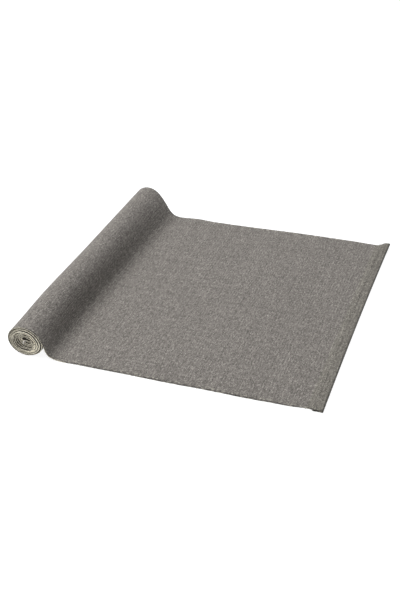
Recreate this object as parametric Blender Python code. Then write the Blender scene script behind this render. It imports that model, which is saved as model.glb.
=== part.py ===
"""Table runner, partly rolled: a long woven cloth with a hem at each end.

The cloth lies on the table along X with its width along Y.  Its free end is at +X.  At -X the rest
of its length is wound into a roll that stands on the table, and the cloth comes down from the top of
the roll in a curve.  Metres, +Z up, origin at the middle of the underside.

Every piece of cloth is one strip of the same thickness that follows a path in the XZ plane.  Rolling
up moves the roll and the rising cloth along +X, and turns the wound cloth about the roll's axis.
"""
import math

import bpy
from mathutils import Vector

# Driving dimensions
CLOTH_WIDTH = 0.350        # across the runner, along Y
LAID_REACH = 0.329         # from the roll's axis to the free edge
ROLL_RADIUS = 0.0198       # outside of the roll
CLOTH_THICKNESS = 0.0009   # one layer
HOLE_RADIUS = 0.0030       # open centre of the roll, inside the inner hem
HEM_WIDTH = 0.011          # cloth turned under at each end
HEM_RAMP = 0.005           # run over which the cloth climbs onto its hem
STITCH_TO_CUT_EDGE = 0.0015  # stitch row to the cut edge of the cloth turned under
STITCH_RADIUS = 0.0002     # sewing thread
STITCH_MARGIN = 0.002      # thread ends short of each selvedge
GAP = 0.0003               # clearance between neighbouring layers and pieces

# How the cloth leaves the roll
LEAVE_ANGLE = math.radians(50)       # from the top of the roll, towards +X
LEAVE_HANDLE = 0.021                 # pull of the curve along the roll's tangent
FOOT_OUT = 0.0282                    # from the roll's outside to where the cloth lies flat
FOOT_HANDLE = 0.0225                 # pull of the curve along the table
TURN_END_ANGLE = math.radians(85)    # the outer turn ends behind the rising cloth

# Fineness of the curves
TURN_STEPS = 30            # segments in one full turn
RISE_STEPS = 14
FOLD_STEPS = 6
RAMP_STEPS = 4
THREAD_SIDES = 8

# Sizes that follow from the driving ones
LAYER_PITCH = CLOTH_THICKNESS + GAP
ROLL_X = (ROLL_RADIUS - LAID_REACH) / 2
FREE_EDGE_X = (ROLL_RADIUS + LAID_REACH) / 2
LAID_Z = CLOTH_THICKNESS / 2                     # middle of a layer that lies on the table
OUTER_TURN_RADIUS = ROLL_RADIUS - CLOTH_THICKNESS / 2
WOUND_RADIUS = OUTER_TURN_RADIUS - LAYER_PITCH
INNER_LAYER_RADIUS = HOLE_RADIUS + CLOTH_THICKNESS / 2 + LAYER_PITCH
FOOT_REACH = ROLL_RADIUS + FOOT_OUT
HEM_START_X = FREE_EDGE_X - HEM_WIDTH - HEM_RAMP
FOLD_REACH = (LAYER_PITCH + CLOTH_THICKNESS) / 2   # a folded edge past its flat layers
STITCH_INSET = HEM_WIDTH - STITCH_TO_CUT_EDGE      # stitch row to the folded edge
DENT_DEPTH = GAP + STITCH_RADIUS                 # the thread sits half sunk in a dent
DENT_HALF_WIDTH = STITCH_RADIUS + 1.5 * GAP
DENT_SLOPE = GAP

CLOTH_COLOR = (0.245, 0.228, 0.208, 1.0)
EDGE_COLOR = (0.300, 0.280, 0.245, 1.0)
THREAD_COLOR = (0.120, 0.112, 0.100, 1.0)


def clear_scene():
    for obj in list(bpy.data.objects):
        bpy.data.objects.remove(obj, do_unlink=True)


def make_material(name, color, roughness):
    material = bpy.data.materials.new(name)
    material.use_nodes = True
    shader = material.node_tree.nodes["Principled BSDF"]
    shader.inputs["Base Color"].default_value = color
    shader.inputs["Roughness"].default_value = roughness
    shader.inputs["Metallic"].default_value = 0.0
    return material


def make_empty(name, location, parent=None):
    """An empty on a joint's axis.  A child's location is given in the parent's space."""
    empty = bpy.data.objects.new(name, None)
    empty.location = location
    empty.parent = parent
    bpy.context.collection.objects.link(empty)
    return empty


def add_object(name, vertices, faces, material, parent=None):
    mesh = bpy.data.meshes.new(name)
    mesh.from_pydata(vertices, [], faces)
    mesh.materials.append(material)
    mesh.shade_smooth()
    mesh.set_sharp_from_angle(angle=math.radians(40))
    obj = bpy.data.objects.new(name, mesh)
    obj.parent = parent
    bpy.context.collection.objects.link(obj)
    return obj


def cloth_strip(name, path, material, parent=None):
    """One layer of cloth, CLOTH_THICKNESS thick and CLOTH_WIDTH wide.

    path holds (x, z, dent) for points along the middle of the layer.  The cloth's face is on the left
    of the way the path runs, and dent is how far a stitch pulls that face in.
    """
    vertices = []
    last = len(path) - 1
    for i, (x, z, dent) in enumerate(path):
        before = Vector(path[max(i - 1, 0)][:2])
        after = Vector(path[min(i + 1, last)][:2])
        here = Vector((x, z))
        incoming = (here - before).normalized() if i > 0 else (after - here).normalized()
        outgoing = (after - here).normalized() if i < last else incoming
        mean = (incoming + outgoing).normalized()
        left = Vector((-mean.y, mean.x))
        mitre = 1 / max(mean.dot(incoming), 0.5)
        face = here + left * (CLOTH_THICKNESS / 2 * mitre - dent)
        back = here - left * (CLOTH_THICKNESS / 2 * mitre)
        for side in (-1, 1):
            y = side * CLOTH_WIDTH / 2
            vertices.append((face.x, y, face.y))
            vertices.append((back.x, y, back.y))
    faces = [(0, 2, 3, 1)]
    for i in range(last):
        a = 4 * i
        b = a + 4
        faces.append((a, b, b + 2, a + 2))              # face of the cloth
        faces.append((a + 1, a + 3, b + 3, b + 1))      # back of the cloth
        faces.append((a, a + 1, b + 1, b))              # selvedge at -Y
        faces.append((a + 2, b + 2, b + 3, a + 3))      # selvedge at +Y
    end = 4 * last
    faces.append((end, end + 1, end + 3, end + 2))
    return add_object(name, vertices, faces, material, parent)


def stitch_row(name, x, z, material, parent=None):
    """A row of sewing thread across the cloth, as one straight thread."""
    half = CLOTH_WIDTH / 2 - STITCH_MARGIN
    vertices = []
    for side in (-1, 1):
        for k in range(THREAD_SIDES):
            angle = 2 * math.pi * k / THREAD_SIDES
            offset = Vector((math.cos(angle), math.sin(angle))) * STITCH_RADIUS
            vertices.append((x + offset.x, side * half, z + offset.y))
    faces = [tuple(range(THREAD_SIDES)), tuple(reversed(range(THREAD_SIDES, 2 * THREAD_SIDES)))]
    for k in range(THREAD_SIDES):
        nxt = (k + 1) % THREAD_SIDES
        faces.append((k, k + THREAD_SIDES, nxt + THREAD_SIDES, nxt))
    return add_object(name, vertices, faces, material, parent)


def stations(length, step, stitch_at=None):
    """Distances along a run with the dent at each, closer together at a stitch row."""
    count = max(2, round(length / step))
    plain = [length * i / count for i in range(count + 1)]
    if stitch_at is None:
        return [(s, 0.0) for s in plain]
    reach = DENT_HALF_WIDTH + DENT_SLOPE
    dented = [(stitch_at - reach, 0.0), (stitch_at - DENT_HALF_WIDTH, DENT_DEPTH),
              (stitch_at + DENT_HALF_WIDTH, DENT_DEPTH), (stitch_at + reach, 0.0)]
    clear = [(s, 0.0) for s in plain if abs(s - stitch_at) > reach + GAP]
    return sorted(clear + dented)


def ring_point(radius, angle):
    """A point about the roll's axis.  angle runs from the top towards -X, as the cloth winds in."""
    return (-radius * math.sin(angle), radius * math.cos(angle))


def bezier(p0, p1, p2, p3, t):
    s = 1 - t
    return p0 * s ** 3 + p1 * (3 * s * s * t) + p2 * (3 * s * t * t) + p3 * t ** 3


def laid_cloth(material):
    """The cloth on the table, from the rising cloth's foot to the hem."""
    start = ROLL_X + FOOT_REACH + GAP
    end = HEM_START_X - GAP
    path = [(start, LAID_Z, 0.0), (end, LAID_Z, 0.0)]
    return cloth_strip("laid_cloth", path, material)


def free_end_hem(material):
    """The free end: the cloth climbs onto the part turned under, and folds at the edge."""
    top_z = LAID_Z + LAYER_PITCH
    fold_x = FREE_EDGE_X - FOLD_REACH
    turned_end_x = FREE_EDGE_X - HEM_WIDTH
    path = []
    for i in range(RAMP_STEPS):
        t = i / RAMP_STEPS
        rise = t * t * (3 - 2 * t)
        path.append((HEM_START_X + HEM_RAMP * t, LAID_Z + LAYER_PITCH * rise, 0.0))
    top_start = HEM_START_X + HEM_RAMP
    stitch_at = FREE_EDGE_X - STITCH_INSET - top_start
    for s, dent in stations(fold_x - top_start, HEM_WIDTH, stitch_at):
        path.append((top_start + s, top_z, dent))
    for i in range(1, FOLD_STEPS):
        angle = math.pi * i / FOLD_STEPS
        x = fold_x + LAYER_PITCH / 2 * math.sin(angle)
        z = LAID_Z + LAYER_PITCH / 2 * (1 + math.cos(angle))
        path.append((x, z, 0.0))
    path.append((fold_x, LAID_Z, 0.0))
    path.append((turned_end_x, LAID_Z, 0.0))
    return cloth_strip("free_end_hem", path, material)


def free_end_stitches(material):
    x = FREE_EDGE_X - STITCH_INSET
    z = LAID_Z + LAYER_PITCH + CLOTH_THICKNESS / 2
    return stitch_row("free_end_stitches", x, z, material)


def rising_cloth(material, carriage):
    """From the table up to the roll, then once round it as the roll's outer turn."""
    foot = Vector((FOOT_REACH, LAID_Z - ROLL_RADIUS))
    leave = Vector(ring_point(OUTER_TURN_RADIUS, -LEAVE_ANGLE))
    tangent = Vector((math.cos(LEAVE_ANGLE), -math.sin(LEAVE_ANGLE)))
    path = []
    for i in range(RISE_STEPS):
        point = bezier(foot, foot - Vector((FOOT_HANDLE, 0)), leave + tangent * LEAVE_HANDLE, leave,
                       i / RISE_STEPS)
        path.append((point.x, point.y, 0.0))
    turn = 2 * math.pi - TURN_END_ANGLE + LEAVE_ANGLE
    steps = round(TURN_STEPS * turn / (2 * math.pi))
    for i in range(steps + 1):
        x, z = ring_point(OUTER_TURN_RADIUS, -LEAVE_ANGLE + turn * i / steps)
        path.append((x, z, 0.0))
    # The cloth's face is outside the roll, which is on the right of the way this path runs.
    return cloth_strip("rising_cloth", path[::-1], material, carriage)


def wound_angle():
    """How far the wound cloth turns before its inner hem starts."""
    return 2 * math.pi * (WOUND_RADIUS - INNER_LAYER_RADIUS) / LAYER_PITCH


def wound_radius(angle):
    return WOUND_RADIUS - LAYER_PITCH * angle / (2 * math.pi)


def rolled_cloth(material, spindle):
    """The wound cloth: a spiral from just inside the outer turn to the inner hem."""
    total = wound_angle()
    steps = round(TURN_STEPS * total / (2 * math.pi))
    path = []
    for i in range(steps + 1):
        angle = total * i / steps
        x, z = ring_point(wound_radius(angle), angle)
        path.append((x, z, 0.0))
    return cloth_strip("rolled_cloth", path[::-1], material, spindle)


def inner_hem_angles():
    """Where the inner hem starts, where it folds, and where its stitches are, about the axis."""
    middle = INNER_LAYER_RADIUS - LAYER_PITCH / 2
    start = wound_angle() + GAP / INNER_LAYER_RADIUS
    fold = start + (HEM_WIDTH - FOLD_REACH) / middle
    stitches = fold - (STITCH_INSET - FOLD_REACH) / middle
    return start, fold, stitches


def inner_end_hem(material, spindle):
    """The inner end: the cloth goes on winding, folds at its edge and comes back inside itself."""
    start, fold, stitches = inner_hem_angles()
    step = 2 * math.pi / TURN_STEPS
    path = []
    for turned, dent in stations(fold - start, step):
        x, z = ring_point(wound_radius(start + turned), start + turned)
        path.append((x, z, dent))
    middle = wound_radius(fold) - LAYER_PITCH / 2
    for i in range(1, FOLD_STEPS):
        swing = math.pi * i / FOLD_STEPS
        radius = middle + LAYER_PITCH / 2 * math.cos(swing)
        ahead = LAYER_PITCH / 2 * math.sin(swing) / middle
        x, z = ring_point(radius, fold + ahead)
        path.append((x, z, 0.0))
    back_radius = INNER_LAYER_RADIUS - LAYER_PITCH
    back_length = (fold - start) * back_radius
    for arc, dent in stations(back_length, step * back_radius, (fold - stitches) * back_radius):
        angle = fold - arc / back_radius
        x, z = ring_point(wound_radius(angle) - LAYER_PITCH, angle)
        path.append((x, z, dent))
    return cloth_strip("inner_end_hem", path[::-1], material, spindle)


def inner_end_stitches(material, spindle):
    angle = inner_hem_angles()[2]
    x, z = ring_point(wound_radius(angle) - LAYER_PITCH - CLOTH_THICKNESS / 2, angle)
    return stitch_row("inner_end_stitches", x, z, material, spindle)


def main():
    clear_scene()
    cloth = make_material("woven_cloth", CLOTH_COLOR, 0.9)
    edge = make_material("hem_cloth", EDGE_COLOR, 0.9)
    thread = make_material("sewing_thread", THREAD_COLOR, 0.7)

    carriage = make_empty("roll_up_axis", (ROLL_X, 0, ROLL_RADIUS))
    spindle = make_empty("roll_turn_axis", (0, 0, 0), carriage)

    laid_cloth(cloth)
    free_end_hem(edge)
    free_end_stitches(thread)
    rising_cloth(cloth, carriage)
    rolled_cloth(cloth, spindle)
    inner_end_hem(edge, spindle)
    inner_end_stitches(thread, spindle)
    bpy.context.view_layer.update()


main()
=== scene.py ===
"""Looks of the partly rolled table runner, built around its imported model.

Every stretch of cloth is a thin closed sheet that follows the path of its CAD solid, with the sag,
waves, frayed selvedges and wound layers that the plain solids leave out.  Metres, +Z up.
"""
import math

import bpy
import numpy as np
from mathutils import Matrix, Vector


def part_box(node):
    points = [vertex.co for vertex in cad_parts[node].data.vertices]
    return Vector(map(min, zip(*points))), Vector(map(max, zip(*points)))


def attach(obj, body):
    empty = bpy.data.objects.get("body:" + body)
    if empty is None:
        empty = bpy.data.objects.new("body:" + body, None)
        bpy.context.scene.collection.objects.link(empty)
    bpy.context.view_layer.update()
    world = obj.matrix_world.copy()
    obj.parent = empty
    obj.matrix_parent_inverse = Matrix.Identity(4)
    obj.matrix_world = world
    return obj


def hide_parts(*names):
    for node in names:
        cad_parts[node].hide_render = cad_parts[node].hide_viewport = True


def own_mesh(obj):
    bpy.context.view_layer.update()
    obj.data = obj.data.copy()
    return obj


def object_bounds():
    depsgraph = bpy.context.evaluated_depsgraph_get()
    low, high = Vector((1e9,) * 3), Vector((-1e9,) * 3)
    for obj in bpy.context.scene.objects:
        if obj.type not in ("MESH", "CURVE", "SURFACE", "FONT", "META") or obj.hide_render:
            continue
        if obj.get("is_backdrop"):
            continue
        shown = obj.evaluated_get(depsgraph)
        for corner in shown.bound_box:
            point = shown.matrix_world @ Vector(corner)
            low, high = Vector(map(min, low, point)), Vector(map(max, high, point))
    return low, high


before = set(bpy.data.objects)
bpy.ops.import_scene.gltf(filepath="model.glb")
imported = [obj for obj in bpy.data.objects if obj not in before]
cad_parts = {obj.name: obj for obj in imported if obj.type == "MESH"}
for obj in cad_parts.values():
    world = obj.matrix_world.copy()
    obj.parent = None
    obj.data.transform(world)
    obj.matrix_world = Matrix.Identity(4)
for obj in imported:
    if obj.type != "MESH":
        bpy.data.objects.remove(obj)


def plain_box():
    low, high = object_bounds()
    return [list(low), list(high)]


CAD_BOX = plain_box()

# ---------------------------------------------------------------- sizes read from the frame
LAID_LOW, LAID_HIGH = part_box("laid_cloth")
RISE_LOW, RISE_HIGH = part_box("rising_cloth")
HEM_LOW, HEM_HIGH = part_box("free_end_hem")
WIDTH = LAID_HIGH.y - LAID_LOW.y
THICKNESS = LAID_HIGH.z - LAID_LOW.z
ROLL_RADIUS = RISE_HIGH.z / 2
ROLL_X = RISE_LOW.x + ROLL_RADIUS
FOOT_X = RISE_HIGH.x
HEM_X = HEM_LOW.x
FREE_X = HEM_HIGH.x
LAYER_GAP = 0.0003                        # open space between wound layers, as in the solids
PITCH = THICKNESS + LAYER_GAP
MIDDLE_Z = THICKNESS / 2                  # middle of a layer that lies on the table
OUTER_RADIUS = ROLL_RADIUS - THICKNESS / 2
WOUND_RADIUS = OUTER_RADIUS - PITCH
HOLE_LAYER_RADIUS = 0.00465               # the wound layer that the inner hem continues
HEM_WIDTH = 0.011
HEM_RAMP = FREE_X - HEM_X - HEM_WIDTH
STITCH_INSET = 0.0095                     # from the folded edge to the row of stitches
STITCH_PITCH = 0.0036
STITCH_LENGTH = 0.0027
STITCH_RISE, STITCH_DIP = 0.00016, 0.00012   # its middle stands up, and its ends go into the cloth
STITCH_SLANT = 0.00008
STITCH_SINK = 0.00015                     # the thread's middle lies this far under the cloth's face
UNSTITCHED = 0.006                        # left free of stitches, both ends of a row together
THREAD_RADIUS = 0.00024
YARN_PITCH = 0.00105                      # between neighbouring yarns
LOOP_PITCH = 0.0021                       # between the loops of yarn that stand out of a selvedge
SELVEDGE_BAND = 0.006                     # the meshes are finer this near to a selvedge

# ---------------------------------------------------------------- how the real cloth lies
RIPPLE = 0.00018                          # slack waves of the laid cloth, as long and wide as this:
RIPPLE_LENGTH, RIPPLE_WIDTH = 0.055, 0.08
SETTLE = 0.012                            # past its foot the cloth takes this far to start waving
EDGE_BAND = 0.03                          # what happens at a selvedge dies out this far into the cloth
NEAR_SPRING = 0.0006                      # the near selvedge stands off the table by the rising cloth
SPRING_END = 0.02, 0.09                   # and comes down between these distances from the foot
FAR_BUMP = 0.0010                         # the far selvedge has one bump, and this is where it is
FAR_BUMP_PLACE, FAR_BUMP_LENGTH = 0.025, 0.014
CORNER_LIFT = 0.0034                      # the far corner of the hem stands up
CORNER_START, CORNER_END = 0.0024, 0.0050    # from this far past the seam to this far from the edge
BOW, BOW_AT_SIDES, BOW_AT_FAR_CORNER = 0.0003, 0.0012, 0.0011    # how far the free edge reaches out
NEAR_WAVE = 0.00030, 0.082, 0.008         # selvedge waves: height, length and the x where y is least
FAR_WAVE = 0.00045, 0.17, -0.036
NEAR_OUTWARD, FAR_INWARD = 0.0001, 0.00055    # and what the waves swing about
DRAW_IN, DRAW_IN_LENGTH = 0.0019, 0.02    # the near selvedge draws in before the hem
LET_GO, LET_GO_LENGTH = 0.0018, 0.006     # and comes out again past the seam
FAR_DRAW_IN, FAR_DRAW_IN_LENGTH = 0.0020, 0.035
LAID_RAGGED, RISING_RAGGED, WOUND_RAGGED = 0.00016, 0.00018, 0.00022    # loops out of line
RISING_WANDER, RISING_WANDER_LENGTH = 0.00045, 0.03    # the rising selvedges' slow wander
RISING_EDGE_BAND, WOUND_EDGE_BAND = 0.012, 0.01    # as EDGE_BAND, for these stretches of cloth
RISING_SETTLE = 0.01                      # the wander starts this far up from the foot
PUCKER = 0.00012                          # small unevenness on top of the hem
PUCKER_LENGTH, PUCKER_WIDTH = 0.006, 0.004
CHANNEL_WIDTH, CHANNEL_DEPTH = 0.0009, 0.00006    # the stitches pull the cloth down in a line
DIMPLE_DEPTH = 0.00014                    # and deeper at each needle hole
NEAR_SAG = 0.085                          # the roll's near end is flatter than its middle
NEAR_SAG_REACH = 0.085                    # from the near end inwards
SAG_FADE = 0.2                            # of the roll's height: nearer to the table it sags less
NEAR_LIFT = 0.0003                        # and its lowest turns hang just off the table
NEAR_BULGE = 0.020                        # and they bulge out low down, under the rising cloth
ROLL_SKEW = 0.0011                        # the rest of the roll leans towards the laid cloth
FULL_SKEW = 0.19                          # fully from this far from the near end
NEAR_LEAVE, FAR_LEAVE = math.radians(68), math.radians(43)    # from the roll's top to the rising cloth
NEAR_HANDLES, FAR_HANDLES = (0.018, 0.031), (0.022, 0.022)    # of its curve, at the roll and the foot
MIDDLE_EASE = 0.006                       # the foot of the rising cloth is easier in the middle
TUCK_ANGLE = math.radians(20)             # the outer turn ends this far short of the rising cloth
TELESCOPE = 0.0040                        # the middle of the roll sits this far back
CORE_SHIFT = 0.0011                       # and this far towards the laid cloth
CORE_FLATNESS, CORE_LEAN = 0.0013, 0.98   # the open middle is a slot, leaning to one side
SLACK_TURN, SLACK = 4.6, 0.0003           # the turns inside this one are slack and have sunk a little
WOUND_THICKNESS = 0.00078                 # wound layers are pressed a little thinner
PAIR_GAP = 0.00008                        # and lie in pairs, with a wider gap after every second one
PAIR_START, PAIR_CRISPNESS = 0.125, 1.8
WOBBLE = 0.00013                          # the loose turns aren't quite round
PAIR_STEP, TURN_STEP = 0.0004, 0.0012     # pairs and loose turns end out of line at the roll's ends
HEM_CLEARANCE = 0.0001                    # between the wound cloth and the hem that continues it

RNG = np.random.default_rng(11)


# ---------------------------------------------------------------- numbers
def ease(t):
    """From 0 to 1 with a level start and end."""
    return t * t * (3 - 2 * t)


def smooth(low, high, x):
    """0 up to low, 1 from high on, and a smooth rise between them."""
    return ease(np.clip((x - low) / (high - low), 0, 1))


def wave(x, height, length, crest):
    """An even wave with a crest at that place."""
    return height * np.cos(2 * math.pi * (x - crest) / length)


LATTICE_SIZE = 256
LATTICE = np.random.default_rng(5).uniform(-1, 1, (LATTICE_SIZE, LATTICE_SIZE))


def noise(x, y=0.0):
    """Smooth noise from -1 to 1 that varies over a distance of about one unit."""
    x, y = np.broadcast_arrays(np.asarray(x, float), np.asarray(y, float))
    i, j = np.floor(x).astype(int), np.floor(y).astype(int)
    fx, fy = ease(x - i), ease(y - j)

    def at(a, b):
        return LATTICE[a % LATTICE_SIZE, b % LATTICE_SIZE]

    low = at(i, j) * (1 - fx) + at(i + 1, j) * fx
    high = at(i, j + 1) * (1 - fx) + at(i + 1, j + 1) * fx
    return low * (1 - fy) + high * fy


def rows_across(step, edge_step):
    """Places across the cloth, from one selvedge to the other, closer together at the selvedges."""
    half = WIDTH / 2
    edge = np.arange(0, SELVEDGE_BAND, edge_step)
    inner = np.linspace(SELVEDGE_BAND, WIDTH - SELVEDGE_BAND, int(WIDTH / step))
    return np.concatenate([-half + edge, -half + inner, half - edge[::-1]])


# ---------------------------------------------------------------- meshes
SIDE_BULGE, SIDE_UNEVENNESS = 0.40, 0.28      # of the sheet's thickness


def new_object(name, vertices, faces, materials, face_materials=None, sharp=50):
    """A mesh object, smooth but for edges that turn by more than sharp degrees."""
    mesh = bpy.data.meshes.new(name)
    mesh.from_pydata(vertices, [], faces)
    for material in materials:
        mesh.materials.append(material)
    if face_materials is not None:
        mesh.polygons.foreach_set("material_index", face_materials)
    mesh.shade_smooth()
    mesh.set_sharp_from_angle(angle=math.radians(sharp))
    mesh.update()
    obj = bpy.data.objects.new(name, mesh)
    bpy.context.scene.collection.objects.link(obj)
    return obj


def cloth_sheet(name, centre, along, across, cloth, edge, thickness=THICKNESS):
    """A closed sheet of cloth from a grid of points in the middle of its thickness.

    centre is (n, m, 3) with n points along the path and m across.  The face is on the left of the
    path.  along and across are the weave's own coordinates of each point, kept in the attribute
    cloth_place so that the yarns run with the cloth round every bend.
    """
    n, m = centre.shape[:2]
    way = np.gradient(centre, axis=0)
    side = np.gradient(centre, axis=1)
    normal = np.cross(way, side)
    normal /= np.linalg.norm(normal, axis=2, keepdims=True)
    face = centre + normal * thickness / 2
    back = centre - normal * thickness / 2
    outward = np.zeros((n, 1, 3))
    outward[..., 1] = thickness * (SIDE_BULGE + SIDE_UNEVENNESS * RNG.uniform(-1, 1, (n, 1)))
    rims = np.concatenate([centre[:, :1] - outward, centre[:, -1:] + outward[::-1]], axis=1)
    vertices = np.concatenate([face.reshape(-1, 3), back.reshape(-1, 3), rims.reshape(-1, 3)])

    index = np.arange(n * m).reshape(n, m)
    under = index + n * m
    rim = np.arange(2 * n * m, 2 * n * m + 2 * n).reshape(n, 2)

    def quads(a, b, c, d):
        return np.stack([a.ravel(), b.ravel(), c.ravel(), d.ravel()], axis=1)

    grid = quads(index[:-1, :-1], index[1:, :-1], index[1:, 1:], index[:-1, 1:])
    grid_back = quads(under[:-1, :-1], under[:-1, 1:], under[1:, 1:], under[1:, :-1])
    sides = [
        quads(index[:-1, 0], rim[:-1, 0], rim[1:, 0], index[1:, 0]),
        quads(rim[:-1, 0], under[:-1, 0], under[1:, 0], rim[1:, 0]),
        quads(index[:-1, -1], index[1:, -1], rim[1:, 1], rim[:-1, 1]),
        quads(rim[:-1, 1], rim[1:, 1], under[1:, -1], under[:-1, -1]),
    ]
    ends = [
        quads(index[0, :-1], index[0, 1:], under[0, 1:], under[0, :-1]),
        quads(index[-1, :-1], under[-1, :-1], under[-1, 1:], index[-1, 1:]),
    ]
    corners = [
        (rim[0, 0], index[0, 0], under[0, 0]),
        (rim[0, 1], under[0, -1], index[0, -1]),
        (rim[-1, 0], under[-1, 0], index[-1, 0]),
        (rim[-1, 1], index[-1, -1], under[-1, -1]),
    ]
    body = [grid, grid_back]
    trim = sides + ends
    faces = [tuple(q) for part in body + trim for q in part.tolist()]
    faces += [tuple(int(k) for k in c) for c in corners]
    plain = sum(len(part) for part in body)
    kinds = np.ones(len(faces), int)
    kinds[:plain] = 0
    obj = new_object(name, vertices.tolist(), faces, [cloth, edge], kinds)

    place = np.zeros((n, m, 3))
    place[..., 0] = along
    place[..., 1] = across
    rim_place = np.concatenate([place[:, :1], place[:, -1:]], axis=1)
    values = np.concatenate([place.reshape(-1, 3), place.reshape(-1, 3), rim_place.reshape(-1, 3)])
    attribute = obj.data.attributes.new("cloth_place", "FLOAT_VECTOR", "POINT")
    attribute.data.foreach_set("vector", values.ravel())
    obj["rim_count"] = n
    return obj


def tubes(name, paths, radii, material, sides=5):
    """Closed round threads along a list of point lists, tapering to the given radius at each point."""
    vertices, faces = [], []
    for path, radius in zip(paths, radii):
        points = [Vector(p) for p in path]
        base = len(vertices)
        for k, point in enumerate(points):
            way = points[min(k + 1, len(points) - 1)] - points[max(k - 1, 0)]
            way.normalize()
            upright = abs(way.z) > 0.8
            helper = Vector((1, 0, 0)) if upright else Vector((0, 0, 1))
            first = way.cross(helper).normalized()
            second = way.cross(first)
            for s in range(sides):
                angle = 2 * math.pi * s / sides
                vertices.append(point + (first * math.cos(angle) + second * math.sin(angle)) * radius[k])
        for k in range(len(points) - 1):
            ring = base + k * sides
            for s in range(sides):
                nxt = (s + 1) % sides
                faces.append((ring + s, ring + nxt, ring + sides + nxt, ring + sides + s))
        faces.append(tuple(base + s for s in reversed(range(sides))))
        top = base + (len(points) - 1) * sides
        faces.append(tuple(top + s for s in range(sides)))
    return new_object(name, [tuple(v) for v in vertices], faces, [material], sharp=70)


# ---------------------------------------------------------------- materials
class Nodes:
    """Short calls for building a node tree."""

    def __init__(self, tree):
        self.tree = tree

    def add(self, kind, **settings):
        node = self.tree.nodes.new(kind)
        for key, value in settings.items():
            setattr(node, key, value)
        return node

    def link(self, source, target):
        self.tree.links.new(source, target)

    def put(self, value, socket):
        if isinstance(value, (int, float, tuple)):
            socket.default_value = value
        else:
            self.link(value, socket)

    def math(self, operation, *values):
        node = self.add("ShaderNodeMath", operation=operation)
        for k, value in enumerate(values):
            self.put(value, node.inputs[k])
        return node.outputs[0]

    def swing(self, value, amount):
        """A value between 0 and 1, turned into one that swings by amount about zero."""
        return self.math("MULTIPLY_ADD", value, amount, -amount / 2)

    def object_place(self):
        return self.add("ShaderNodeTexCoord").outputs["Object"]

    def cloth_place(self):
        """The weave's own coordinates, which cloth_sheet keeps at each point."""
        return self.add("ShaderNodeAttribute", attribute_name="cloth_place").outputs["Vector"]

    def split(self, vector):
        """The three numbers of a vector."""
        node = self.add("ShaderNodeSeparateXYZ")
        self.link(vector, node.inputs[0])
        return list(node.outputs)

    def noise(self, vector, scale, detail=2.0, roughness=0.5):
        node = self.add("ShaderNodeTexNoise")
        self.link(vector, node.inputs["Vector"])
        node.inputs["Scale"].default_value = scale
        node.inputs["Detail"].default_value = detail
        node.inputs["Roughness"].default_value = roughness
        return node.outputs["Fac"]

    def vector(self, x, y, z):
        node = self.add("ShaderNodeCombineXYZ")
        for k, value in enumerate((x, y, z)):
            self.put(value, node.inputs[k])
        return node.outputs[0]

    def random(self, value, seed):
        """A fixed random number for every whole value."""
        node = self.add("ShaderNodeTexWhiteNoise", noise_dimensions="2D")
        self.link(self.vector(value, seed, 0.0), node.inputs["Vector"])
        return node.outputs["Value"]

    def remap(self, value, from_low, from_high, to_low, to_high):
        node = self.add("ShaderNodeMapRange")
        self.link(value, node.inputs["Value"])
        for key, number in zip(("From Min", "From Max", "To Min", "To Max"),
                               (from_low, from_high, to_low, to_high)):
            node.inputs[key].default_value = number
        return node.outputs[0]

    # A Mix node has one pair of sockets for numbers and another for colours
    def mix_numbers(self, factor, a, b):
        node = self.add("ShaderNodeMix", data_type="FLOAT")
        for socket, value in ((0, factor), (2, a), (3, b)):
            self.put(value, node.inputs[socket])
        return node.outputs[0]

    def mix(self, factor, a, b, blend="MIX"):
        node = self.add("ShaderNodeMix", data_type="RGBA", blend_type=blend)
        for socket, value in ((0, factor), (6, a), (7, b)):
            self.put(value, node.inputs[socket])
        return node.outputs[2]

    def darken(self, color, factor):
        return self.mix(1.0, color, self.vector(factor, factor, factor), "MULTIPLY")

    def ramp(self, value, stops):
        node = self.add("ShaderNodeValToRGB")
        self.link(value, node.inputs[0])
        ramp = node.color_ramp
        while len(ramp.elements) < len(stops):
            ramp.elements.new(0.5)
        for element, (place, color) in zip(ramp.elements, stops):
            element.position = place
            element.color = color
        return node.outputs[0]

    def bump(self, height, strength, distance, shader):
        node = self.add("ShaderNodeBump")
        node.inputs["Strength"].default_value = strength
        node.inputs["Distance"].default_value = distance
        self.link(height, node.inputs["Height"])
        self.link(node.outputs[0], shader.inputs["Normal"])


DARK_YARN = (0.068, 0.062, 0.056, 1)
MIDDLE_YARN = (0.172, 0.158, 0.144, 1)
LIGHT_YARN = (0.395, 0.370, 0.340, 1)
CREAM = (0.66, 0.63, 0.54, 1)
HEM_TINT = (0.93, 0.94, 0.90, 1)          # the doubled cloth looks a touch darker and greener
FLAT_SELVEDGE = [
    (0.50, (0.018, 0.016, 0.013, 1)), (0.66, (0.07, 0.065, 0.053, 1)), (0.86, (0.30, 0.285, 0.235, 1))]
WOUND_SELVEDGE = [
    (0.40, (0.055, 0.046, 0.034, 1)), (0.52, (0.60, 0.540, 0.420, 1)), (0.66, (0.96, 0.91, 0.75, 1))]
SEWING_THREAD = (0.035, 0.032, 0.030, 1), (0.11, 0.10, 0.095, 1)
PALE_YARN = (0.78, 0.76, 0.70, 1), (0.94, 0.92, 0.87, 1)
LOOSE_FIBRE = (0.16, 0.15, 0.13, 1), (0.36, 0.34, 0.30, 1)
FLOOR_GREYS = (0.23, 0.23, 0.23, 1), (0.27, 0.27, 0.27, 1)
YARN_BEND = 1.2                           # how far a yarn wanders, in yarns
YARN_DIFFERENCE = 0.07                    # in shade, from one yarn to the next
WARP_MOTTLE, WEFT_MOTTLE = 0.36, 0.19     # how fast the shade changes along a yarn, per yarn crossed
RIB = 0.045                               # how much paler the thicker weft yarns are
RIB_YARNS = 3                             # about one weft yarn in so many is thicker
RIB_DRIFT = 14.0                          # and which one it is changes from place to place
FLECK = 0.50                              # the shade of single fibres
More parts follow.
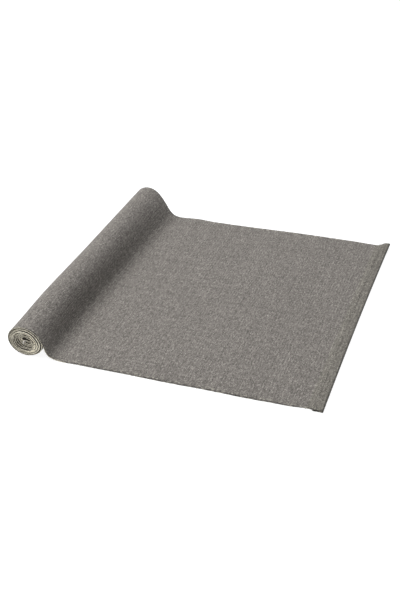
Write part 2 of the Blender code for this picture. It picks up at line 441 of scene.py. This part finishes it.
SHADE_GAIN, SHADE_START = 1.65, -0.385    # spread the yarns' shades over the colours
MIDDLE_DIMMING = -1.0, -0.60              # from here to here along the cloth its side grows paler
OUTERMOST_TURN = -0.34, -0.24             # and from here to here darker again
PAINTED_LIGHT_SPAN = ROLL_X - 0.014, ROLL_X + 0.010    # and from here to here across the roll, painted shade on the left turning to painted light on the right


def start_material(name):
    material = bpy.data.materials.new(name)
    material.use_nodes = True
    nodes = Nodes(material.node_tree)
    shader = material.node_tree.nodes["Principled BSDF"]
    shader.inputs["Metallic"].default_value = 0.0
    shader.inputs["Specular IOR Level"].default_value = 0.25
    return material, nodes, shader


def plain_weave(nodes, place):
    """Colour and height of a plain weave of mottled yarns, from the cloth's own coordinates."""
    along, across, _ = nodes.split(place)
    bend = nodes.swing(nodes.noise(place, 60.0, 1.0), YARN_BEND)
    u = nodes.math("ADD", nodes.math("DIVIDE", along, YARN_PITCH), bend)
    v = nodes.math("SUBTRACT", nodes.math("DIVIDE", across, YARN_PITCH), bend)
    weft_id, warp_id = nodes.math("FLOOR", u), nodes.math("FLOOR", v)
    across_weft = nodes.math("SINE", nodes.math("MULTIPLY", nodes.math("FRACT", u), math.pi))
    across_warp = nodes.math("SINE", nodes.math("MULTIPLY", nodes.math("FRACT", v), math.pi))

    # At each crossing one yarn goes over and the other under, in turns
    parity = nodes.math("PINGPONG", nodes.math("ADD", weft_id, warp_id), 1.0)
    sign = nodes.math("MULTIPLY_ADD", parity, 2.0, -1.0)
    warp_height = nodes.math("ADD", across_warp, nodes.math("MULTIPLY", sign, across_weft))
    weft_height = nodes.math("SUBTRACT", across_weft, nodes.math("MULTIPLY", sign, across_warp))
    warp_on_top = nodes.math("GREATER_THAN", warp_height, weft_height)
    height = nodes.math("MULTIPLY", nodes.math("MAXIMUM", warp_height, weft_height), 0.5)

    # Each yarn is spun from light and dark fibres: its shade changes from yarn to yarn and along it
    warp_own, weft_own = nodes.random(warp_id, 3.0), nodes.random(weft_id, 7.0)
    warp_place = nodes.vector(
        nodes.math("MULTIPLY", u, WARP_MOTTLE), nodes.math("MULTIPLY", warp_own, 90.0), 2.0)
    weft_place = nodes.vector(
        nodes.math("MULTIPLY", weft_own, 90.0), nodes.math("MULTIPLY", v, WEFT_MOTTLE), 9.0)
    warp_mottle, weft_mottle = (nodes.noise(spot, 1.0, 2.0, 0.7) for spot in (warp_place, weft_place))
    warp_shade = nodes.math("MULTIPLY_ADD", warp_own, YARN_DIFFERENCE, warp_mottle)
    weft_shade = nodes.math("MULTIPLY_ADD", weft_own, YARN_DIFFERENCE, weft_mottle)
    drift = nodes.math("MULTIPLY", nodes.noise(place, 25.0, 1.0), RIB_DRIFT)
    rib = nodes.math("SINE", nodes.math("MULTIPLY_ADD", weft_id, 2 * math.pi / RIB_YARNS, drift))
    weft_shade = nodes.math("MULTIPLY_ADD", rib, RIB, weft_shade)
    yarn_shade = nodes.mix_numbers(warp_on_top, weft_shade, warp_shade)
    fleck = nodes.noise(place, 1100.0, 1.0, 0.6)
    shade = nodes.math("MULTIPLY_ADD", yarn_shade, SHADE_GAIN, SHADE_START)
    shade = nodes.math("ADD", shade, nodes.swing(fleck, FLECK))
    color = nodes.ramp(shade, [(0.16, DARK_YARN), (0.50, MIDDLE_YARN), (0.86, LIGHT_YARN)])

    # Along the selvedges the turning yarns show as pale and dark flecks
    distance = nodes.math("SUBTRACT", WIDTH / 2, nodes.math("ABSOLUTE", across))
    rim = nodes.remap(distance, 0.0010, 0.0060, 0.62, 0.0)
    flecks = nodes.noise(place, 480.0, 1.0)
    specks = nodes.ramp(flecks, [(0.39, DARK_YARN), (0.53, MIDDLE_YARN), (0.68, CREAM)])
    color = nodes.mix(rim, color, specks)

    # Painted shade darkens the gaps between yarns, and the outermost yarn is darker too
    painted_gap_shade = nodes.remap(height, 0.10, 0.75, 0.45, 1.08)
    outermost = nodes.remap(distance, 0.0002, 0.0018, 0.40, 1.0)
    color = nodes.darken(nodes.darken(color, painted_gap_shade), outermost)
    return color, height, fleck, along


def woven_material(name, read_place, crease=None, tint=None):
    """The cloth.  A crease is a pressed fold at that place along the cloth, with a line of painted
    shade.
    """
    material, nodes, shader = start_material(name)
    place = nodes.cloth_place() if read_place else nodes.object_place()
    color, height, fleck, along = plain_weave(nodes, place)
    if crease is not None:
        # painted shade: a dark line along the side of the fold that turns away from the light
        distance = nodes.math("ABSOLUTE", nodes.math("SUBTRACT", along, crease))
        color = nodes.darken(color, nodes.remap(distance, 0.0009, 0.0019, 0.42, 1.0))
    if tint is not None:
        color = nodes.mix(1.0, color, tint, "MULTIPLY")
    nodes.link(color, shader.inputs["Base Color"])
    rough = nodes.remap(fleck, 0.3, 0.7, 0.82, 0.96)
    nodes.link(rough, shader.inputs["Roughness"])
    total = nodes.math("ADD", height, nodes.math("MULTIPLY", fleck, 0.35))
    nodes.bump(total, 0.55, 0.00022, shader)
    shader.inputs["Sheen Weight"].default_value = 0.08
    shader.inputs["Sheen Roughness"].default_value = 0.6
    return material


def selvedge_material(name, stops, spot_scale, wound=False):
    """The side of the cloth: loops of yarn with dark gaps between them.

    On a wound cloth the loops are darker towards the middle of the roll and on the outermost turn,
    with painted light on the roll's right side, under the rising cloth, and painted shade on its left.
    """
    material, nodes, shader = start_material(name)
    place = nodes.cloth_place()
    along, _, _ = nodes.split(place)
    turn = nodes.math("MULTIPLY", along, math.pi / YARN_PITCH)
    loops = nodes.math("ABSOLUTE", nodes.math("SINE", turn))
    spots = nodes.noise(place, spot_scale, 1.0, 0.6)
    shade = nodes.math("MULTIPLY_ADD", loops, 0.30, nodes.math("MULTIPLY_ADD", spots, 1.25, -0.15))
    color = nodes.ramp(shade, stops)
    if wound:
        color = nodes.darken(color, nodes.remap(along, *MIDDLE_DIMMING, 0.92, 1.04))
        color = nodes.darken(color, nodes.remap(along, *OUTERMOST_TURN, 1.0, 0.50))
        # painted light and shade: paler on the roll end's right side, darker on its left
        x, _, _ = nodes.split(nodes.object_place())
        color = nodes.darken(color, nodes.remap(x, *PAINTED_LIGHT_SPAN, 0.78, 1.15))
    nodes.link(color, shader.inputs["Base Color"])
    shader.inputs["Roughness"].default_value = 0.9
    nodes.bump(shade, 0.6, 0.0002, shader)
    return material


def thread_material(name, dark, light):
    """Twisted thread: fine slanting plies."""
    material, nodes, shader = start_material(name)
    plies = nodes.add("ShaderNodeTexWave", bands_direction="DIAGONAL")
    nodes.link(nodes.object_place(), plies.inputs["Vector"])
    plies.inputs["Scale"].default_value = 900.0
    plies.inputs["Distortion"].default_value = 1.5
    color = nodes.ramp(plies.outputs["Fac"], [(0.2, dark), (0.8, light)])
    nodes.link(color, shader.inputs["Base Color"])
    shader.inputs["Roughness"].default_value = 0.7
    return material


def floor_material():
    material, nodes, shader = start_material("pale_floor")
    dark, light = FLOOR_GREYS
    grain = nodes.noise(nodes.object_place(), 8.0, 2.0)
    color = nodes.ramp(grain, [(0.3, dark), (0.7, light)])
    nodes.link(color, shader.inputs["Base Color"])
    shader.inputs["Roughness"].default_value = 0.9
    shader.inputs["Emission Color"].default_value = (1, 1, 1, 1)
    shader.inputs["Emission Strength"].default_value = FLOOR_GLOW
    return material


# ---------------------------------------------------------------- where the cloth lies
def bow(y):
    """The free edge is pulled in a little between its corners."""
    far_corner = smooth(WIDTH / 2 - EDGE_BAND, WIDTH / 2, y)
    return BOW + BOW_AT_SIDES * (2 * y / WIDTH) ** 2 + BOW_AT_FAR_CORNER * far_corner


def seam_x(y):
    """Where the laid cloth is parted from the hem: a line that lies straight across the bowed cloth."""
    return HEM_X - bow(y) * smooth(FOOT_X, FREE_X, HEM_X)


def ground(x, y):
    """How far the laid cloth stands off the table in slack waves, and its lifted far corner."""
    ripple = RIPPLE * (1 + noise(x / RIPPLE_LENGTH + 3.1, y / RIPPLE_WIDTH + 1.7))
    near_edge = 1 - smooth(0, EDGE_BAND, y + WIDTH / 2)
    far_edge = smooth(WIDTH / 2 - EDGE_BAND, WIDTH / 2, y)
    spring = NEAR_SPRING * near_edge * (1 - smooth(FOOT_X + SPRING_END[0], FOOT_X + SPRING_END[1], x))
    bump = FAR_BUMP * far_edge * np.exp(-((x - FOOT_X - FAR_BUMP_PLACE) / FAR_BUMP_LENGTH) ** 2)
    corner = smooth(HEM_X + CORNER_START, FREE_X - CORNER_END, x) * far_edge
    settled = smooth(FOOT_X, FOOT_X + SETTLE, x)
    return settled * (ripple + spring + bump) + CORNER_LIFT * corner


def selvedge_wave(x, y):
    """Sideways wander of the selvedges, which draw in just before the hem."""
    drawn_in = DRAW_IN * smooth(HEM_X - DRAW_IN_LENGTH, HEM_X, x)
    drawn_in = drawn_in - LET_GO * smooth(HEM_X, HEM_X + LET_GO_LENGTH, x)
    near_slow = drawn_in - NEAR_OUTWARD - wave(x, *NEAR_WAVE)
    far_slow = -FAR_INWARD - wave(x, *FAR_WAVE)
    far_slow = far_slow - FAR_DRAW_IN * smooth(HEM_X - FAR_DRAW_IN_LENGTH, HEM_X, x)
    quick = LAID_RAGGED * noise(x / LOOP_PITCH, 40 + np.sign(y) * 7)
    reach = smooth(WIDTH / 2 - EDGE_BAND, WIDTH / 2, np.abs(y))
    return reach * (np.where(y > 0, far_slow, near_slow) + quick) * smooth(FOOT_X, FOOT_X + SETTLE, x)


def laid_point(x, y, z):
    """A point of the flat cloth, put where the slack cloth really lies."""
    share = smooth(FOOT_X, FREE_X, x)
    return np.stack([x + bow(y) * share, y + selvedge_wave(x, y), z + ground(x, y)], axis=-1)


def roll_point(x, z, y):
    """A point given from the roll's axis in x and from the table in z, with the roll's own sag."""
    from_near = y + WIDTH / 2
    near = 1 - smooth(0, NEAR_SAG_REACH, from_near)
    hold = 1 - smooth(ROLL_RADIUS, FOOT_X - ROLL_X, x)
    height = z / (2 * ROLL_RADIUS)
    side = np.clip(x / ROLL_RADIUS, 0, 1)
    lean = ROLL_SKEW * smooth(NEAR_SAG_REACH, FULL_SKEW, from_near)
    bulge = NEAR_BULGE * near * side * height * np.clip(1 - height, 0, 1) ** 3
    x = x + hold * (lean + bulge)
    z = z * (1 - NEAR_SAG * near * smooth(0, SAG_FADE, height)) + NEAR_LIFT * near * hold * (1 - height)
    return np.stack([ROLL_X + x, y + 0 * x, z], axis=-1)


def bezier(p0, p1, p2, p3, t):
    s = 1 - t
    return p0 * s ** 3 + p1 * 3 * s * s * t + p2 * 3 * s * t * t + p3 * t ** 3


def rising_profile(y, rise_steps, turn_steps):
    """The rising cloth and the outer turn at one place across, inner end first."""
    share = smooth(0.0, 1.0, y / WIDTH + 0.5)
    leave = NEAR_LEAVE + (FAR_LEAVE - NEAR_LEAVE) * share
    top_handle = NEAR_HANDLES[0] + (FAR_HANDLES[0] - NEAR_HANDLES[0]) * share
    foot_handle = NEAR_HANDLES[1] + (FAR_HANDLES[1] - NEAR_HANDLES[1]) * share
    foot_handle += MIDDLE_EASE * math.sin(math.pi * (y / WIDTH + 0.5)) ** 0.5
    first = math.radians(-360) + leave + TUCK_ANGLE
    angle = np.linspace(first, leave, turn_steps)
    turn_x = OUTER_RADIUS * np.sin(angle)
    turn_z = ROLL_RADIUS + OUTER_RADIUS * np.cos(angle)
    t = np.linspace(0, 1, rise_steps + 1)[1:]
    foot = FOOT_X - ROLL_X
    x = bezier(turn_x[-1], turn_x[-1] + top_handle * math.cos(leave), foot - foot_handle, foot, t)
    z = bezier(turn_z[-1], turn_z[-1] - top_handle * math.sin(leave), MIDDLE_Z, MIDDLE_Z, t)
    return np.concatenate([turn_x, x]), np.concatenate([turn_z, z])


def lengths(points):
    """Distance along the middle row of a grid of points."""
    middle = points[:, points.shape[1] // 2]
    steps = np.linalg.norm(np.diff(middle, axis=0), axis=1)
    return np.concatenate([[0.0], np.cumsum(steps)])


# ---------------------------------------------------------------- pieces of cloth
LAID_STEP = 0.0009                        # between the mesh's points along the laid cloth
WOUND_STEPS = 900                         # points along the wound cloth
FOLD_STEPS = 9                            # points round a folded edge, both ends included


def make_laid_cloth(cloth, edge):
    x = np.append(np.arange(FOOT_X, HEM_X, LAID_STEP), HEM_X)
    y = rows_across(step=0.005, edge_step=0.0012)
    grid_x, grid_y = np.meshgrid(x, y, indexing="ij")
    grid_x = FOOT_X + (grid_x - FOOT_X) * (seam_x(grid_y) - FOOT_X) / (HEM_X - FOOT_X)
    centre = laid_point(grid_x, grid_y, np.full_like(grid_x, MIDDLE_Z))
    obj = cloth_sheet("laid_cloth_weave", centre, grid_x, grid_y, cloth, edge)
    return obj


def make_rising_cloth(cloth, edge):
    y = rows_across(step=0.006, edge_step=0.0015)
    columns = [rising_profile(value, rise_steps=60, turn_steps=150) for value in y]
    x = np.stack([c[0] for c in columns], axis=1)
    z = np.stack([c[1] for c in columns], axis=1)
    grid_y = np.broadcast_to(y, x.shape)
    centre = roll_point(x, z, grid_y)
    s = lengths(centre)
    along = FOOT_X - (s[-1] - s)
    edge_reach = smooth(WIDTH / 2 - RISING_EDGE_BAND, WIDTH / 2, np.abs(grid_y))
    settled = smooth(0, RISING_SETTLE, s[-1] - s)[:, None]
    wander = RISING_WANDER * noise(s / RISING_WANDER_LENGTH, 2.0)
    wander = wander + RISING_RAGGED * noise(s / LOOP_PITCH, 5.0)
    centre[..., 1] += np.sign(grid_y) * edge_reach * settled * wander[:, None]
    obj = cloth_sheet("rising_cloth_weave", centre, along[:, None], grid_y, cloth, edge)
    return obj, along[0]


def wound_radius(angle):
    return WOUND_RADIUS - PITCH * angle / (2 * math.pi)


WOUND_TURN = 2 * math.pi * (WOUND_RADIUS - HOLE_LAYER_RADIUS) / PITCH


def wound_place(radius, angle, y):
    """A point of the wound cloth, with the loose, slightly flattened turns of a hand-rolled cloth."""
    turns = angle / (2 * math.pi)
    depth = smooth(0.4, WOUND_TURN / (2 * math.pi), turns)
    loose = smooth(0.6, 3.0, turns)
    pair = np.clip(PAIR_CRISPNESS * np.cos(math.pi * (turns + PAIR_START)), -1, 1)
    flat = CORE_FLATNESS * depth ** 1.5 * np.cos(2 * (angle - CORE_LEAN))
    slack = SLACK * smooth(SLACK_TURN - 0.4, SLACK_TURN + 0.4, turns)
    wobble = WOBBLE * loose * (np.sin(3 * angle + 0.5 * turns) + 0.6 * np.sin(5 * angle - 0.7 * turns))
    r = radius + flat + wobble + PAIR_GAP * pair - slack
    x = -r * np.sin(angle) + CORE_SHIFT * depth
    z = ROLL_RADIUS + r * np.cos(angle) - slack
    back = TELESCOPE * smooth(0.25, 1.0, depth)
    ragged = PAIR_STEP * pair + TURN_STEP * loose * noise(turns * 3.3, 1.0)
    point = roll_point(x, z, y)
    point[..., 1] += back + ragged
    return point


def make_rolled_cloth(cloth, edge, along_end):
    y = rows_across(step=0.02, edge_step=0.003)
    angle = np.linspace(WOUND_TURN, 0, WOUND_STEPS)
    grid_angle, grid_y = np.meshgrid(angle, y, indexing="ij")
    centre = wound_place(wound_radius(grid_angle), grid_angle, grid_y)
    s = lengths(centre)
    along = along_end - (s[-1] - s)
    jitter = WOUND_RAGGED * noise(s / LOOP_PITCH, 8.0)[:, None]
    edge_reach = smooth(WIDTH / 2 - WOUND_EDGE_BAND, WIDTH / 2, np.abs(grid_y))
    centre[..., 1] += np.sign(grid_y) * edge_reach * jitter
    obj = cloth_sheet("rolled_cloth_weave", centre, along[:, None], grid_y, cloth, edge, WOUND_THICKNESS)
    return obj, along[0]


def hem_profile():
    """The free end from the laid cloth to the cut edge under the hem: x, height and along."""
    top_z = MIDDLE_Z + PITCH
    fold_x = FREE_X - (PITCH + THICKNESS) / 2
    ramp_t = np.linspace(0, 1, 9)[:-1]
    ramp_x = HEM_X + HEM_RAMP * ramp_t
    ramp_z = MIDDLE_Z + PITCH * ease(ramp_t)
    top_x = np.linspace(HEM_X + HEM_RAMP, fold_x, 34)
    turn = np.linspace(0, math.pi, FOLD_STEPS)[1:-1]
    turned_x = fold_x + PITCH / 2 * np.sin(turn)
    turned_z = MIDDLE_Z + PITCH / 2 * (1 + np.cos(turn))
    under_x = np.linspace(fold_x, FREE_X - HEM_WIDTH, 14)
    x = np.concatenate([ramp_x, top_x, turned_x, under_x])
    z = np.concatenate([ramp_z, np.full(len(top_x), top_z), turned_z, np.full(len(under_x), MIDDLE_Z)])
    steps = np.hypot(np.diff(x), np.diff(z))
    return x, z, HEM_X + np.concatenate([[0.0], np.cumsum(steps)])


def crease_place():
    """The fold's place in the weave's own coordinates."""
    x, _, along = hem_profile()
    return float(along[np.argmax(x)])


def needle_pull(x, y):
    """How far the stitches pull the cloth down: a shallow channel with a dimple at each needle hole."""
    off = (x - (FREE_X - STITCH_INSET)) / CHANNEL_WIDTH
    hole = 0.5 + 0.5 * np.cos(2 * math.pi * y / STITCH_PITCH)
    return np.exp(-off ** 2) * (CHANNEL_DEPTH + DIMPLE_DEPTH * hole ** 3)


def make_free_hem(cloth, edge):
    x, z, along = hem_profile()
    y = np.concatenate([np.arange(-WIDTH / 2, WIDTH / 2, STITCH_PITCH / 4), [WIDTH / 2]])
    grid_x, grid_y = np.meshgrid(x, y, indexing="ij")
    grid_z = np.broadcast_to(z[:, None], grid_x.shape).copy()
    grid_along = np.broadcast_to(along[:, None], grid_x.shape).copy()
    grid_x[0] = grid_along[0] = seam_x(y)
    on_top = grid_z > MIDDLE_Z + PITCH * 0.9
    grid_z -= np.where(on_top, needle_pull(grid_x, grid_y), 0)
    pucker = PUCKER * noise(grid_y / PUCKER_LENGTH, grid_x / PUCKER_WIDTH)
    grid_z += np.where(on_top, pucker, 0)
    centre = laid_point(grid_x, grid_y, grid_z)
    obj = cloth_sheet("free_end_hem_fold", centre, grid_along, grid_y, cloth, edge)
    return obj


def stitch_row(name, point, thread):
    """A row of stitches, short arcs that dip into the cloth at both ends.

    point gives the place for a distance across the cloth, a height above it and a slant.
    """
    count = int((WIDTH - UNSTITCHED) / STITCH_PITCH)
    first = -(count - 1) * STITCH_PITCH / 2
    paths, radii = [], []
    for k in range(count):
        middle = first + k * STITCH_PITCH
        path, radius = [], []
        for t in np.linspace(-1, 1, 7):
            rise = STITCH_RISE * (1 - t * t) - STITCH_DIP * t ** 4
            path.append(point(middle + t * STITCH_LENGTH / 2, rise, STITCH_SLANT * t))
            radius.append(THREAD_RADIUS * (1 - 0.45 * abs(t) ** 3))
        paths.append(path)
        radii.append(radius)
    return tubes(name, paths, radii, thread)


def make_free_stitches(thread):
    top = MIDDLE_Z + PITCH + THICKNESS / 2 - STITCH_SINK

    def point(y, rise, slant):
        x = FREE_X - STITCH_INSET + slant
        here = laid_point(np.array(x), np.array(y), np.array(top + rise))
        return tuple(float(c) for c in here)

    return stitch_row("free_end_stitch_thread", point, thread)


def make_inner_hem(cloth, edge, along_end):
    middle = HOLE_LAYER_RADIUS - PITCH / 2
    fold_reach = (PITCH + THICKNESS) / 2
    start = WOUND_TURN + HEM_CLEARANCE / HOLE_LAYER_RADIUS
    fold = start + (HEM_WIDTH - fold_reach) / middle
    layer = np.linspace(start, fold, 24)
    turn = np.linspace(0, math.pi, FOLD_STEPS)[1:-1]
    angle = np.concatenate([layer, fold + PITCH / 2 * np.sin(turn) / middle, layer[::-1]])
    shift = np.concatenate(
        [np.zeros_like(layer), -PITCH / 2 * (1 - np.cos(turn)), np.full_like(layer, -PITCH)])
    angle, shift = angle[::-1], shift[::-1]
    y = rows_across(step=0.02, edge_step=0.003)
    grid_angle, grid_y = np.meshgrid(angle, y, indexing="ij")
    radius = wound_radius(np.minimum(grid_angle, fold)) + shift[:, None]
    centre = wound_place(radius, grid_angle, grid_y)
    s = lengths(centre)
    along = along_end - (s[-1] - s)
    obj = cloth_sheet("inner_end_hem_fold", centre, along[:, None], grid_y, cloth, edge, WOUND_THICKNESS)
    return obj, fold - (STITCH_INSET - fold_reach) / middle


def make_inner_stitches(thread, angle):
    radius = float(wound_radius(angle)) - PITCH - THICKNESS / 2

    def point(y, rise, slant):
        here = wound_place(np.array(radius - rise), np.array(angle + slant / radius), np.array(y))
        return tuple(float(c) for c in here)

    return stitch_row("inner_end_stitch_thread", point, thread)


# ---------------------------------------------------------------- loose fibres
FIBRE_LENGTHS = 0.0004, 0.0016
FIBRE_RADII = [0.00006, 0.00006, 0.00005, 0.00004, 0.00002]    # at each point, from root to tip
FRAYED_YARN_RADII = [0.00020, 0.00018, 0.00016, 0.00013, 0.00007]    # at as many points
LOWEST = 0.00008                          # no fibre goes through the table
ROOT_DEPTH, FRAYED_ROOT_DEPTH = 0.0003, 0.0006    # how far inside the selvedge it starts
CURL_RADIUS, CURL_TURN = 0.0008, 5.0      # of the yarn end in the roll's mouth
CURL_LENGTH, CURL_OUTWARD = 0.004, 0.0025
CORE_THREAD_RADIUS, CORE_THREAD_TIP = 0.0005, 0.0003


def fibre(start, way, length, droop):
    """A short curved fibre from start, with a point for each radius."""
    side = Vector(RNG.normal(0, 1, 3)).normalized() * length * 0.35
    points = []
    for t in np.linspace(0, 1, len(FIBRE_RADII)):
        points.append(Vector(start) + way * length * t + side * t * t - Vector((0, 0, droop * t * t)))
    return points


def edge_fibres(rim, sign, count):
    """Fibres that stand out of a selvedge, from points along it."""
    paths, radii = [], []
    for k in RNG.integers(0, len(rim), count):
        start = Vector(rim[k]) - Vector((0, sign * ROOT_DEPTH, 0))
        way = Vector((RNG.normal(0, 0.7), sign, RNG.normal(0.15, 0.5))).normalized()
        length = float(RNG.uniform(*FIBRE_LENGTHS))
        points = fibre(start, way, length, droop=0.0)
        for p in points:
            p.z = max(p.z, LOWEST)
        paths.append(points)
        radii.append(FIBRE_RADII)
    return paths, radii


def make_fuzz(name, sheet, material, count):
    """Fibres along both selvedges of a cloth sheet, whose last points are its two rims, in pairs."""
    vertices = sheet.data.vertices
    points = np.zeros(len(vertices) * 3)
    vertices.foreach_get("co", points)
    rim_count = sheet["rim_count"]
    rims = points.reshape(-1, 3)[-2 * rim_count:].reshape(rim_count, 2, 3)
    near_paths, near_radii = edge_fibres(rims[:, 0], -1, count)
    far_paths, far_radii = edge_fibres(rims[:, 1], 1, count)
    return tubes(name, near_paths + far_paths, near_radii + far_radii, material, sides=3)


def make_loose_threads(material):
    """A few frayed yarns at the corners of the free end: distance from the edge, side and length."""
    yarns = [(0.0125, 1, 0.0040), (0.0100, 1, 0.0026), (0.0072, 1, 0.0030), (0.0140, 1, 0.0020),
             (0.0018, 1, 0.0022), (0.0125, -1, 0.0022), (0.0060, -1, 0.0018)]
    paths = []
    for inset, sign, length in yarns:
        x, y = FREE_X - inset, sign * WIDTH / 2
        start = laid_point(np.array(x), np.array(y), np.array(MIDDLE_Z + PITCH))
        way = Vector((RNG.normal(0, 0.35), sign * 0.8, 0.55 if sign > 0 else 0.1)).normalized()
        root = Vector(start) - Vector((0, sign * FRAYED_ROOT_DEPTH, 0))
        paths.append(fibre(root, way, length, droop=0.0004))
    return tubes("corner_threads", paths, [FRAYED_YARN_RADII] * len(paths), material, sides=6)


def make_core_thread(material):
    """The loose yarn end that curls in the mouth of the roll's open middle."""
    path = []
    for t in np.linspace(0, 1, 11):
        y = -WIDTH / 2 - CURL_OUTWARD - CURL_LENGTH * t
        point = wound_place(np.array(0.0), np.array(WOUND_TURN), np.array(y))
        turn = CURL_TURN * t
        curl = Vector((math.cos(turn), 0, math.sin(turn) + 1.5)) * CURL_RADIUS
        path.append(Vector(point) + curl)
    radii = [CORE_THREAD_RADIUS] * (len(path) - 1) + [CORE_THREAD_TIP]
    return tubes("core_thread", [path], [radii], material, sides=8)


# ---------------------------------------------------------------- camera, light and floor
CAMERA_AZIMUTH, CAMERA_ELEVATION, CAMERA_ROLL = 21.22, 32.25, -2.357
CAMERA_DISTANCE = 1.1337
CAMERA_TARGET = Vector((ROLL_X + 0.1429, -0.0142, 0.0))
CAMERA_LENS = 57.88
FLOOR_GLOW = 0.90
ROOM_LIGHT = 0.30                         # even light from above
HORIZON_FADE = 0.10, 0.24                 # the room is as pale as the floor up to the first height
KEY_PLACE = -1.12, -0.05, 2.08
KEY_SIZE, KEY_POWER = 1.9, 70.0
FLOOR_HALF, FLOOR_DEPTH = 6.0, 0.0002     # the floor lies just under the cloth


def make_camera():
    data = bpy.data.cameras.new("camera")
    data.sensor_width = 36.0
    data.lens = CAMERA_LENS
    data.clip_start = 0.01
    camera = bpy.data.objects.new("camera", data)
    bpy.context.scene.collection.objects.link(camera)
    azimuth, elevation = math.radians(CAMERA_AZIMUTH), math.radians(CAMERA_ELEVATION)
    back = Vector((math.sin(azimuth) * math.cos(elevation),
                   -math.cos(azimuth) * math.cos(elevation), math.sin(elevation)))
    right = Vector((math.cos(azimuth), math.sin(azimuth), 0))
    up = back.cross(right)
    turned = Matrix((right, up, back)).transposed() @ Matrix.Rotation(math.radians(CAMERA_ROLL), 3, "Z")
    camera.matrix_world = Matrix.Translation(CAMERA_TARGET + back * CAMERA_DISTANCE) @ turned.to_4x4()
    bpy.context.scene.camera = camera


def make_light():
    """One large soft light that looks at the middle of the runner."""
    data = bpy.data.lights.new("key", "AREA")
    data.shape = "DISK"
    data.size = KEY_SIZE
    data.energy = KEY_POWER
    light = bpy.data.objects.new("key", data)
    light.location = KEY_PLACE
    light.rotation_euler = (-Vector(KEY_PLACE)).to_track_quat("-Z", "Y").to_euler()
    bpy.context.scene.collection.objects.link(light)


def make_stage():
    """The pale room and the floor."""
    world = bpy.data.worlds.new("studio")
    world.use_nodes = True
    nodes = Nodes(world.node_tree)
    background = world.node_tree.nodes["Background"]
    background.inputs["Color"].default_value = (1, 1, 1, 1)
    _, _, upward = nodes.split(nodes.add("ShaderNodeTexCoord").outputs["Generated"])
    nodes.link(nodes.remap(upward, *HORIZON_FADE, 1.0, ROOM_LIGHT), background.inputs["Strength"])
    bpy.context.scene.world = world
    bpy.context.scene.view_settings.view_transform = "Standard"

    corners = [(sx * FLOOR_HALF, sy * FLOOR_HALF, 0) for sx, sy in ((-1, -1), (1, -1), (1, 1), (-1, 1))]
    floor = new_object("floor", corners, [(0, 1, 2, 3)], [floor_material()])
    floor.location.z = -FLOOR_DEPTH
    floor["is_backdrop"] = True


# ---------------------------------------------------------------- everything together
def main():
    """Makes every piece, and says what it rides on and what it is made of."""
    make_camera()
    make_light()
    make_stage()
    laid_weave = woven_material("woven_cloth_flat", read_place=False)
    wound_weave = woven_material("woven_cloth_bent", read_place=True)
    hem_weave = woven_material("hem_cloth_folded", read_place=True, crease=crease_place(), tint=HEM_TINT)
    laid_edge = selvedge_material("selvedge_flat", FLAT_SELVEDGE, spot_scale=330.0)
    wound_edge = selvedge_material("selvedge_wound", WOUND_SELVEDGE, spot_scale=520.0, wound=True)
    thread = thread_material("sewing_thread", *SEWING_THREAD)
    pale_thread = thread_material("pale_yarn", *PALE_YARN)
    fuzz = thread_material("loose_fibre", *LOOSE_FIBRE)

    laid = make_laid_cloth(laid_weave, laid_edge)
    hem = make_free_hem(hem_weave, laid_edge)
    stitches = make_free_stitches(thread)
    rising, along_outer = make_rising_cloth(wound_weave, wound_edge)
    rolled, along_inner = make_rolled_cloth(wound_weave, wound_edge, along_outer)
    inner_hem, stitch_angle = make_inner_hem(wound_weave, wound_edge, along_inner)
    inner_stitches = make_inner_stitches(thread, stitch_angle)
    corner_threads = make_loose_threads(fuzz)
    core_thread = make_core_thread(pale_thread)
    laid_fuzz = make_fuzz("laid_selvedge_fuzz", laid, fuzz, count=420)
    rising_fuzz = make_fuzz("rising_selvedge_fuzz", rising, fuzz, count=260)
    rolled_fuzz = make_fuzz("rolled_selvedge_fuzz", rolled, fuzz, count=420)

    for piece in (laid, hem, stitches, corner_threads, laid_fuzz):
        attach(piece, "laid_end")
    for piece in (rising, rising_fuzz):
        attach(piece, "rising_turn")
    for piece in (rolled, inner_hem, inner_stitches, rolled_fuzz, core_thread):
        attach(piece, "roll")

    for piece in (laid, laid_fuzz):
        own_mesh(piece)

    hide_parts("laid_cloth")
    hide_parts("free_end_hem")
    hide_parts("free_end_stitches")
    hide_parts("rising_cloth")
    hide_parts("rolled_cloth")
    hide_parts("inner_end_hem")
    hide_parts("inner_end_stitches")


main()
({"cad": [[float(c) for c in corner] for corner in CAD_BOX],
           "visual": [[float(c) for c in corner] for corner in plain_box()]})
